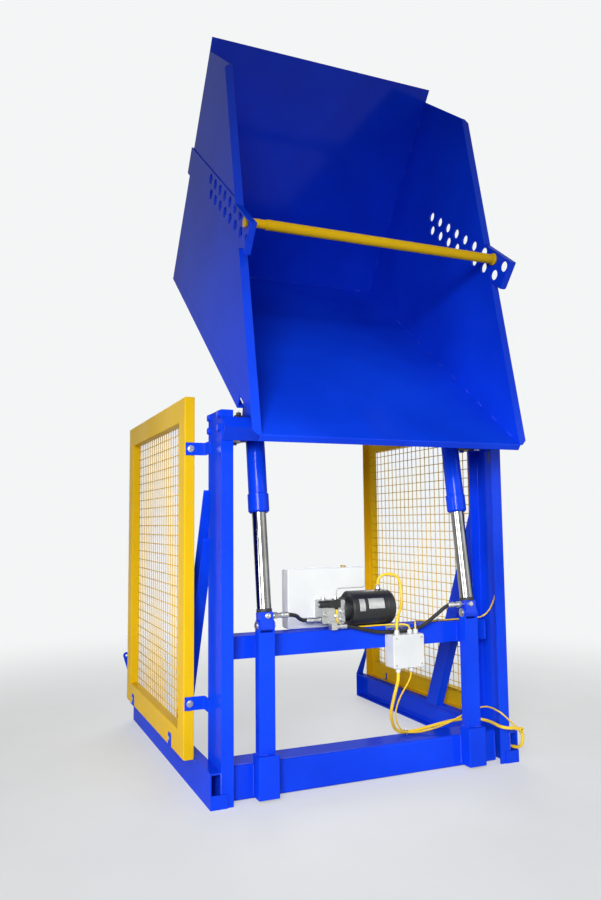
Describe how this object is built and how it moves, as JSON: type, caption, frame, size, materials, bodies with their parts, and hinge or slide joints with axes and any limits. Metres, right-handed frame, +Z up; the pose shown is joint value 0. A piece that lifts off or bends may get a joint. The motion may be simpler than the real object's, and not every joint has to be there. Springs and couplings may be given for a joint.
{
  "type": "box dumper",
  "caption": "Hydraulic box dumper: an open steel chute on twin rams that tips over a channel frame with mesh side guards.",
  "frame": {"origin": "centre of the four floor-anchor holes, on the floor plane under the rails", "axes": "+X to the right seen from the dump side, +Y from the dump side to the loading side, +Z up"},
  "size_m": [1.76, 1.974, 3.8003],
  "materials": {
    "blue_paint": "gloss",
    "yellow_paint": "gloss",
    "chrome": "polished",
    "zinc": "zinc plated",
    "steel": "machined",
    "black_paint": "semi-gloss",
    "black_cast": "painted",
    "hose_rubber": "satin",
    "cable_yellow": "satin",
    "tank_white": "satin",
    "box_white": "satin",
    "plastic_black": "satin",
    "brass": "machined"
  },
  "bodies": {
    "frame": {"left_rail": "blue_paint", "right_rail": "blue_paint", "left_column": "blue_paint", "right_column": "blue_paint", "rail_end_plates": "blue_paint", "lower_beam": "blue_paint", "middle_beam": "blue_paint", "top_beam": "blue_paint", "braces": "blue_paint", "left_post": "blue_paint", "right_post": "blue_paint", "post_sockets": "blue_paint", "left_guard_frame": "yellow_paint", "right_guard_frame": "yellow_paint", "left_guard_mesh": "yellow_paint", "right_guard_mesh": "yellow_paint", "guard_brackets": "blue_paint", "bearing_brackets": "blue_paint", "pillow_blocks": "black_cast", "frame_bolts": "zinc", "lower_pins": "steel", "motor_shell": "black_paint", "motor_end_bell": "black_paint", "pump_manifold": "zinc", "solenoid_valve": "plastic_black", "reservoir": "tank_white", "breather_cap": "brass", "left_hose": "hose_rubber", "right_hose": "hose_rubber", "control_box": "box_white", "control_box_lid": "box_white", "box_strap": "zinc", "limit_switch": "plastic_black", "control_leads": "cable_yellow", "supply_cables": "cable_yellow", "cable_clips": "zinc"},
    "chute": {"chute_slide": "blue_paint", "chute_platform": "blue_paint", "left_wall": "blue_paint", "right_wall": "blue_paint", "left_hole_plate": "blue_paint", "right_hole_plate": "blue_paint", "platform_stiffener": "blue_paint", "slide_rails": "blue_paint", "pivot_ears": "blue_paint", "pivot_shafts": "steel", "ram_brackets": "blue_paint", "upper_pin_ends": "steel"},
    "retaining_bar": {"retaining_bar": "yellow_paint"},
    "left_ram": {"left_ram": "chrome", "left_ram_block": "blue_paint"},
    "right_ram": {"right_ram": "chrome", "right_ram_block": "blue_paint"},
    "left_barrel": {"left_barrel": "blue_paint", "left_gland": "blue_paint", "left_upper_pin": "steel"},
    "right_barrel": {"right_barrel": "blue_paint", "right_gland": "blue_paint", "right_upper_pin": "steel"},
    "rotor": {"motor_rotor": "steel"}
  },
  "joints": [
    {"name": "chute_tilt", "type": "hinge", "parent": "frame", "child": "chute", "pos_m": [0, -0.737, 1.67], "axis": [1, 0, 0], "range_deg": [-128.3, 0]},
    {"name": "bar_slide", "type": "slide", "parent": "chute", "child": "retaining_bar", "axis": [1, 0, 0], "range_m": [-0.04, 0]},
    {"name": "left_ram_swing", "type": "hinge", "parent": "frame", "child": "left_ram", "pos_m": [-0.549, -0.8215, 0.759], "axis": [1, 0, 0], "range_deg": [-8.52, 0]},
    {"name": "left_barrel_slide", "type": "slide", "parent": "left_ram", "child": "left_barrel", "axis": [0, 0.1426, 0.9898], "range_m": [-0.4095, 0]},
    {"name": "right_ram_swing", "type": "hinge", "parent": "frame", "child": "right_ram", "pos_m": [0.549, -0.8215, 0.759], "axis": [1, 0, 0], "range_deg": [-8.52, 0]},
    {"name": "right_barrel_slide", "type": "slide", "parent": "right_ram", "child": "right_barrel", "axis": [0, 0.1426, 0.9898], "range_m": [-0.4095, 0]},
    {"name": "rotor_spin", "type": "hinge", "parent": "frame", "child": "rotor", "pos_m": [0, -0.695, 0.796], "axis": [1, 0, 0], "continuous": true}
  ],
  "couplings": [
    {"joint": "left_ram_swing", "follows": "chute_tilt", "ratio": 0.066312},
    {"joint": "left_barrel_slide", "follows": "chute_tilt", "m_per_rad": 0.18256},
    {"joint": "right_ram_swing", "follows": "chute_tilt", "ratio": 0.066312},
    {"joint": "right_barrel_slide", "follows": "chute_tilt", "m_per_rad": 0.18256}
  ]
}
